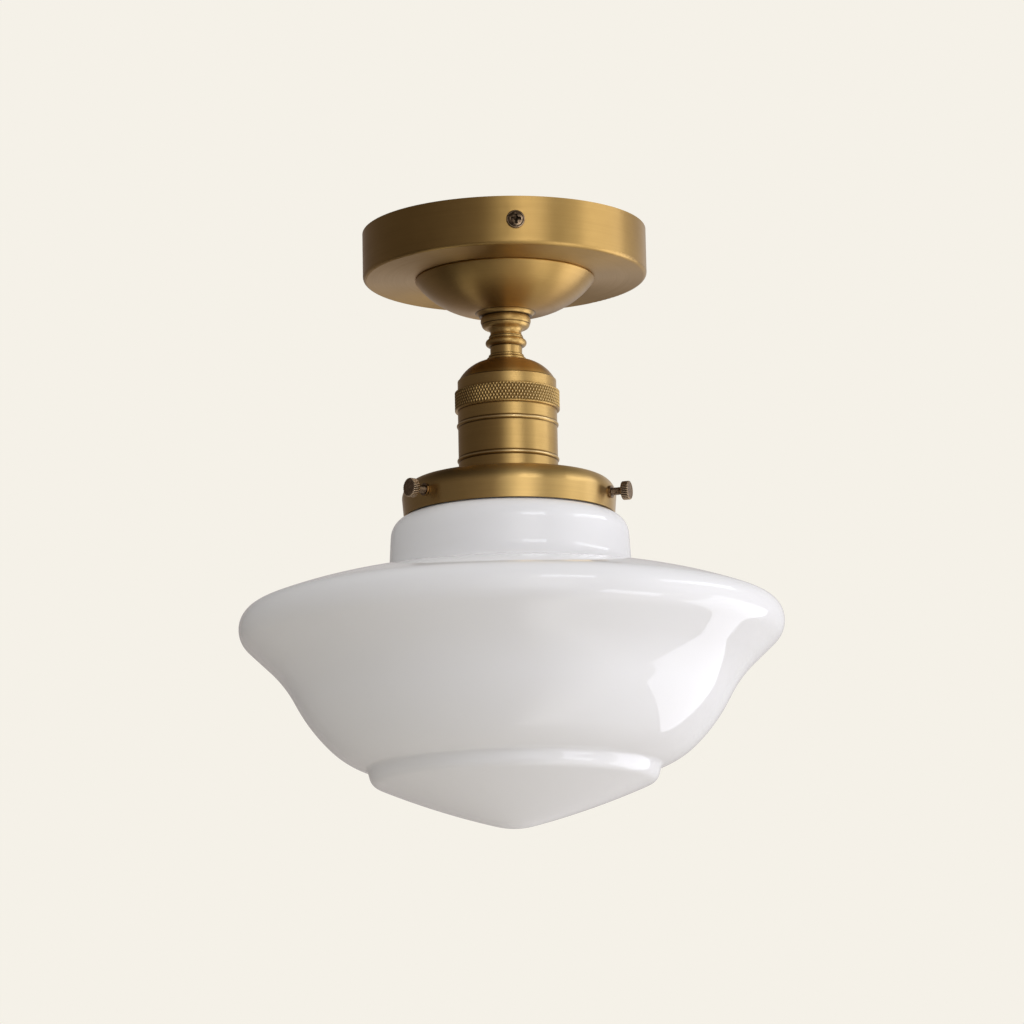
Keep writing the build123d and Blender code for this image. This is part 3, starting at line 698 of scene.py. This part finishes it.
def canopy_screw(front):
    """Pan-head screw with a crossed recess, in the canopy's front (-1) or rear (1) side.

    The head is a flattened bowl with a step round its rim. With u and v the distances across and up
    the face, the recess sinks where either arm is near: depth * max of clip((half - |u|) / slope)
    times clip((reach - |v|) / slope), and the same with u and v swapped, and a square round the
    centre. Its floor falls towards the axis."""
    side, foot, tip = 4.15, 65.0, 57.0
    crown, depth, half, reach_out = 67.28, 1.60, 0.72, 2.45
    shaft = Outline(0, tip).line((1.5, tip), (2.0, tip + 0.5), (2.0, foot), (side - 0.1, foot))
    shaft.arc((side, foot + 0.35), -0.6, 4)
    rim = Outline(side, foot + 0.35).arc((side - 0.62, foot + 0.95), -0.75, 6)
    rim.line((side - 0.80, foot + 0.62), (side - 0.98, foot + 1.05)).arc((0.08, crown), -5.0, 8)
    bowl = divided(np.array(rim.points), 0.10)
    path = np.concatenate((shaft.points[:-1], bowl, [(0, crown)]))

    def cut(r, w, a):
        face = w > foot + 1.0
        u, v = abs(r * np.cos(a)), abs(r * np.sin(a))
        arms = [
            np.clip((half - p) / 0.30, 0, 1) * np.clip((reach_out - q) / 0.55, 0, 1)
            for p, q in ((u, v), (v, u))
        ]
        sunk = np.maximum(np.maximum(*arms), np.clip((1.75 - u - v) / 0.4, 0, 1)) * face
        # The recess, the groove round the rim and the shank are painted dark as shade and soiling.
        ring = np.exp(-(((r - side + 0.80) / 0.15) ** 2)) * (w > foot + 0.5)
        shank = (r < 2.3) * (w < foot)
        return 0, -depth * sunk * (1.25 - 0.3 * r), np.maximum.reduce((sunk, ring, 0.6 * shank))

    name = "pan_head_" + ("front" if front < 0 else "rear")
    drop = level("canopy_screws", 0) + side
    piece = turned(name, path, 144, (0, 0, drop), (0, front, 0), cut, closed=False)
    placed(piece, BRONZE, "canopy_screws")


# ------------------------------------------------------------------------------------- the shade
GLASS_WALL = 3.5
GLASS_TOP, GLASS_TIP = level("shade", 1), level("shade", 0)
GLASS_NECK, GLASS_BEAD = 44.6, 45.6
BEAD_MIDDLE, BEAD_FOOT = GLASS_TOP - 1.5, GLASS_TOP - 2.6


def shade_outside():
    """Down the outside: neck, collar, flat shoulder, belly, step, cone and rounded tip.

    The tip's radius is (run^2 + rise^2) / (2 * rise), so that it ends level."""
    collar = level("gallery", 0) - 0.4
    run, rise = 10.0, 1.5
    path = Outline(GLASS_NECK, BEAD_FOOT).line((GLASS_NECK, collar + 2.0))
    path.arc((GLASS_NECK + 2.0, collar), -2.0).arc((54.0, collar - 9.3), 9.5, 16)
    path.line((54.6, -152.9)).arc((61.8, -161.0), -8.0, 14)
    path.arc((116.4, -174.1), 215.0, 16).arc((122.94, -183.0), 9.5, 14)
    path.arc((120.1, -191.0), 10.5, 10).line((110.6, -200.0))
    path.arc((97.8, -217.0), -60.0, 12).arc((82.0, -238.0), 80.0, 14)
    path.arc((67.9, -246.7), 42.0, 10).arc((65.5, -248.9), -2.9, 8).line((65.0, -251.0))
    path.arc((61.4, -255.0), 5.4, 10).arc((run, GLASS_TIP + rise), 385.0, 16)
    return path.arc((0, GLASS_TIP), (run**2 + rise**2) / (2 * rise), 8)


def smoothed(path, passes):
    """The path with small kinks eased: each pass averages every point with its neighbours.

    The two points at either end stay where they are."""
    path = path.copy()
    for _ in range(passes):
        path[2:-2] = path[2:-2] / 2 + (path[1:-3] + path[3:-1]) / 4
    return path


def shade():
    """Blown shade: the outside, and the same path moved in by the wall along its normal.

    Where the moved path folds over itself, in the tight hollows, it comes nearer to the outside
    than the wall, and those points are left out."""
    outside = smoothed(divided(np.array(shade_outside().points), 1.6), 3)
    along = np.gradient(outside, axis=0)
    along /= np.hypot(*along.T)[:, None]
    inside = outside + GLASS_WALL * np.stack((along[:, 1], -along[:, 0]), 1)
    inside[-1] = (0, GLASS_TIP + GLASS_WALL)
    gaps = np.linalg.norm(inside[:, None] - outside, axis=2).min(1)
    keep = gaps > GLASS_WALL - 0.12
    keep[0] = True
    inside = smoothed(inside[keep], 4)
    bore = GLASS_NECK - GLASS_WALL
    lip = Outline(bore, GLASS_TOP - 2.0).line((bore, GLASS_TOP - 0.8))
    lip.arc((bore + 1.2, GLASS_TOP), 1.4, 6).line((GLASS_BEAD - 1.1, GLASS_TOP - 0.05))
    lip.arc((GLASS_BEAD, BEAD_MIDDLE), 1.2, 6).arc((GLASS_NECK, BEAD_FOOT), 1.4, 6)
    whole = np.concatenate((inside[::-1], np.array(lip.points)[:-1], outside))
    placed(turned("opal_shade", whole, 224, closed=False), FINISHES["opal_glass"], "shade")


# ------------------------------------------------------------------------------ camera and stage
def camera():
    """Long lens from the left of the front and from below, as the photograph was framed.

    It stands at distance from the light's axis, turned by azimuth from the front, pitched up,
    aimed a hair to the side and rolled about its own line of sight."""
    focal_px, photo_px, sensor_mm = 4180.0, 1024.0, 36.0
    distance, height, azimuth = 1.860, -0.490, radians(4.66)
    pitch, aim, roll = radians(10.94), atan(2.6 / focal_px), -0.020
    data = bpy.data.cameras.new("camera")
    data.lens, data.sensor_width = focal_px / photo_px * sensor_mm, sensor_mm
    heading = azimuth + aim
    forward = Vector((sin(heading) * cos(pitch), cos(heading) * cos(pitch), sin(pitch)))
    right = forward.cross(Vector(Z_AXIS)).normalized()
    up = right.cross(forward)
    tilted_right = cos(roll) * right + sin(roll) * up
    tilted_up = cos(roll) * up - sin(roll) * right
    turn = Matrix((tilted_right, tilted_up, -forward)).transposed().to_4x4()
    stand = (-distance * sin(azimuth), -distance * cos(azimuth), height)
    eye = bpy.data.objects.new("camera", data)
    eye.matrix_world = Matrix.Translation(stand) @ turn
    bpy.context.scene.collection.objects.link(eye)
    bpy.context.scene.camera = eye


def softbox(name, azimuth, elevation, width, height, power, mirrored=True):
    """Soft light aimed at the shade, from an angle right of the front and one above the horizon.

    A light that isn't mirrored only fills: nothing glossy shows it."""
    distance, aim = 1.6, Vector((0, 0, -0.19))
    data = bpy.data.lights.new(name, "AREA")
    data.shape, data.size, data.size_y = "RECTANGLE", width, height
    data.energy, data.color = power, (0.90, 0.91, 1.0)
    a, e = radians(azimuth), radians(elevation)
    away = Vector((sin(a) * cos(e), -cos(a) * cos(e), sin(e)))
    lamp = bpy.data.objects.new(name, data)
    lamp.location = aim + away * distance
    lamp.rotation_euler = away.to_track_quat("Z", "Y").to_euler()
    lamp.visible_glossy = mirrored
    bpy.context.scene.collection.objects.link(lamp)


ROOM = (
    (-180, 0.34), (-158, 0.13), (-128, 0.105), (-95, 0.105), (-65, 0.13), (-40, 0.18), (-20, 0.27),
    (-6, 0.72), (5, 1.21), (18, 1.14), (27, 0.66), (38, 0.49), (50, 0.70), (66, 0.99), (88, 0.82),
    (104, 0.53), (130, 0.44), (155, 0.58), (180, 0.37),
)
GROUND = (
    (-180, 0.26), (-130, 0.04), (-20, 0.02), (8, 0.16), (32, 0.78), (58, 1.30), (86, 0.84),
    (125, 0.42), (180, 0.26),
)


def surroundings():
    """A cream backdrop for the camera, even light on what is matt, and a studio that metal mirrors.

    The mirrored studio is brightest along upright bands in front and at the right: its strength
    is ROOM at the azimuth arctan2(x, -y), which gives way to GROUND well below the horizon and
    fades overhead. A ramp's stops hold half the strength, as they end at 1."""
    world = bpy.data.worlds.new("room")
    bpy.context.scene.world = world
    world.use_nodes = True
    world.node_tree.nodes.clear()
    air = Shading(world.node_tree)
    x, y, z = air.parts(air.node("ShaderNodeTexCoord", output="Generated"))
    around = x.maths("ARCTAN2", 0.0 - y) / (2 * pi) + 0.5
    room, ground = (
        air.node(
            "ShaderNodeValToRGB",
            {"stops": [((azimuth + 180) / 360, (power / 2,) * 3) for azimuth, power in bands]},
            {0: around},
        )
        for bands in (ROOM, GROUND)
    )
    low = air.between(z, -0.30, -0.62)
    band = room * (1.0 - low) + ground * low
    fall = 1.0 - air.between(z, 0.36, 0.80) * 0.85
    warmth = air.mix(air.between(band, 0.03, 0.3), (1.0, 0.85, 0.80), (1.0, 0.98, 0.97))
    studio = air.node("ShaderNodeBackground", {}, {0: warmth, 1: band * fall * 2.4})
    soft = air.between(z, -0.1, 0.8) * 0.44 + x * 0.04 + 0.345
    even = air.node("ShaderNodeBackground", {}, {0: (1.0, 0.985, 0.972, 1), 1: soft})
    backdrop = air.node("ShaderNodeBackground", {}, {0: (0.913, 0.880, 0.807, 1), 1: 1.0})
    seen = air.node("ShaderNodeLightPath", output="Is Camera Ray")
    matt = air.node("ShaderNodeLightPath", output="Is Diffuse Ray")
    lit = air.node("ShaderNodeMixShader", {}, {0: matt, 1: studio, 2: even})
    whole = air.node("ShaderNodeMixShader", {}, {0: seen, 1: lit, 2: backdrop})
    result = world.node_tree.nodes.new("ShaderNodeOutputWorld")
    air.feed(result.inputs[0], whole)


def floor():
    """Pale floor 2.3 metres below the ceiling, which nothing glossy shows."""
    half, drop = 4.0, -2.3
    square = ((-half, -half), (half, -half), (half, half), (-half, half))
    corners = np.array([(x, y, drop) for x, y in square])
    sheet = mesh_piece("floor", corners, [np.array([[0, 1, 2, 3]])])
    paint = Finish("floor_paint")
    sheet.data.materials.append(paint.set(Base_Color=(0.80, 0.77, 0.71, 1), Roughness=0.8))
    sheet.visible_glossy = False


for front in (-1, 1):
    canopy_screw(front)
dome()
neck()
holder_cap()
knurled_ring()
holder_shell()
lamp_thread()
for screw_place, screw_angle in (("left", -55), ("right", 65), ("rear", 185)):
    thumbscrew(screw_place, screw_angle)
shade()

camera()
surroundings()
floor()
softbox("key_window", 106, -20, 1.25, 1.15, 7.8)
softbox("high_window", 84, 26.5, 1.2, 0.26, 2.5)
softbox("low_strip", 48, -27, 0.70, 0.34, 1.9)
softbox("high_strip", 19, 26.5, 0.60, 0.26, 1.5)
softbox("fill", 40, 5, 1.4, 1.4, 6.6, mirrored=False)
bpy.context.scene.view_settings.view_transform = "Standard"
